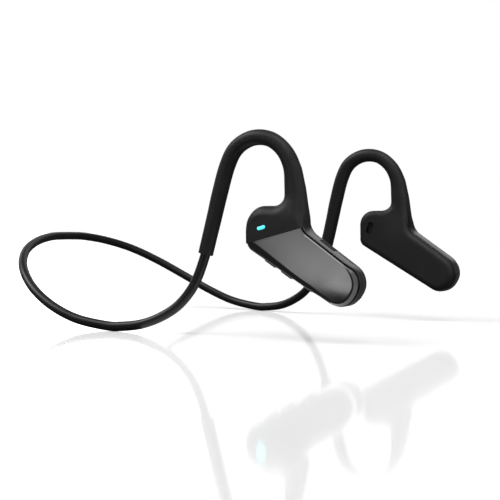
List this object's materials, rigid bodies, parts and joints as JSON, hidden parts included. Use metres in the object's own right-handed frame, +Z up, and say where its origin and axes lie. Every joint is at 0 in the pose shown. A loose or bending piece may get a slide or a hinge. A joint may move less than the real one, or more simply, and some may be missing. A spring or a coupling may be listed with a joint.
{
  "type": "bone conduction headphones",
  "caption": "Wireless open-ear headphones: slim tilted earpieces on over-ear hooks, joined by a thin sprung neckband that loops behind the head.",
  "frame": {"origin": "centre of the bounding box's footprint, on the surface that the neckband's two low bends rest on", "axes": "+X forward as the wearer faces, from the nape to the earpieces; +Y to the wearer's left; +Z up"},
  "size_m": [0.1892, 0.1278, 0.0804],
  "materials": {
    "silicone": "matte black silicone, fine satin skin",
    "soft_touch": "soft-touch matte black plastic",
    "gloss_black": "piano black, polished",
    "button_rubber": "matte black, finely ribbed",
    "light_guide": "cyan status light, lit",
    "steel": "plain nickel-plated steel",
    "mesh_steel": "fine blackened steel mesh",
    "titanium_wire": "titanium alloy, drawn",
    "magnet": "nickel-plated neodymium magnet",
    "cable_copper": "enamelled copper",
    "circuit_board": "green solder mask",
    "chip": "black epoxy package",
    "foil": "satin foil",
    "seal": "soft grey-black rubber"
  },
  "bodies": {
    "right_side": {"right_lobe_cover": "silicone", "right_outer_shell": "gloss_black", "right_inner_shell": "soft_touch", "right_gloss_cover": "gloss_black", "right_shell_seal": "seal", "right_sound_mesh": "mesh_steel", "right_wire_anchor": "steel", "right_driver_yoke": "steel", "right_driver_magnet": "magnet", "right_driver_gasket": "seal", "right_ear_hook": "silicone", "right_neckband_jacket": "silicone", "right_spring_wire": "titanium_wire", "right_signal_cable": "cable_copper", "led_lens": "light_guide", "led_chip": "chip", "main_board": "circuit_board", "bluetooth_chip": "chip", "charging_socket": "steel", "volume_up_switch": "steel", "volume_down_switch": "steel", "multifunction_switch": "steel", "microphone": "foil"},
    "left_side": {"left_lobe_cover": "silicone", "left_outer_shell": "gloss_black", "left_inner_shell": "soft_touch", "left_gloss_cover": "gloss_black", "left_shell_seal": "seal", "left_sound_mesh": "mesh_steel", "left_wire_anchor": "steel", "left_driver_yoke": "steel", "left_driver_magnet": "magnet", "left_driver_gasket": "seal", "left_ear_hook": "silicone", "left_neckband_jacket": "silicone", "left_spring_wire": "titanium_wire", "left_signal_cable": "cable_copper", "battery": "foil", "protection_board": "circuit_board"},
    "volume_up": {"volume_up_button": "button_rubber"},
    "volume_down": {"volume_down_button": "button_rubber"},
    "multifunction": {"multifunction_button": "button_rubber"},
    "port_flap": {"port_cover": "button_rubber"},
    "right_driver_cone": {"right_vibration_plate": "titanium_wire", "right_voice_coil": "cable_copper"},
    "left_driver_cone": {"left_vibration_plate": "titanium_wire", "left_voice_coil": "cable_copper"}
  },
  "joints": [
    {"name": "neckband_flex", "type": "hinge", "parent": "right_side", "child": "left_side", "pos_m": [-0.09267, 0, 0.0391], "axis": [0, 0, 1], "range_deg": [-5, 20], "stiffness_Nm_per_rad": 0.4},
    {"name": "volume_up_press", "type": "slide", "parent": "right_side", "child": "volume_up", "axis": [0.5255, 0, 0.8508], "range_m": [0, 0.0003], "stiffness_N_per_m": 3000},
    {"name": "volume_down_press", "type": "slide", "parent": "right_side", "child": "volume_down", "axis": [0.5255, 0, 0.8508], "range_m": [0, 0.0003], "stiffness_N_per_m": 3000},
    {"name": "multifunction_press", "type": "slide", "parent": "right_side", "child": "multifunction", "axis": [0.5255, 0, 0.8508], "range_m": [0, 0.0003], "stiffness_N_per_m": 3000},
    {"name": "port_cover_hinge", "type": "hinge", "parent": "right_side", "child": "port_flap", "pos_m": [0.07875, -0.0516, 0.03809], "axis": [0, -1, 0], "range_deg": [0, 95], "stiffness_Nm_per_rad": 0.001},
    {"name": "right_driver_travel", "type": "slide", "parent": "right_side", "child": "right_driver_cone", "axis": [0, 1, 0], "range_m": [-0.0002, 0.0002], "stiffness_N_per_m": 500},
    {"name": "left_driver_travel", "type": "slide", "parent": "left_side", "child": "left_driver_cone", "axis": [0, -1, 0], "range_m": [-0.0002, 0.0002], "stiffness_N_per_m": 500}
  ]
}
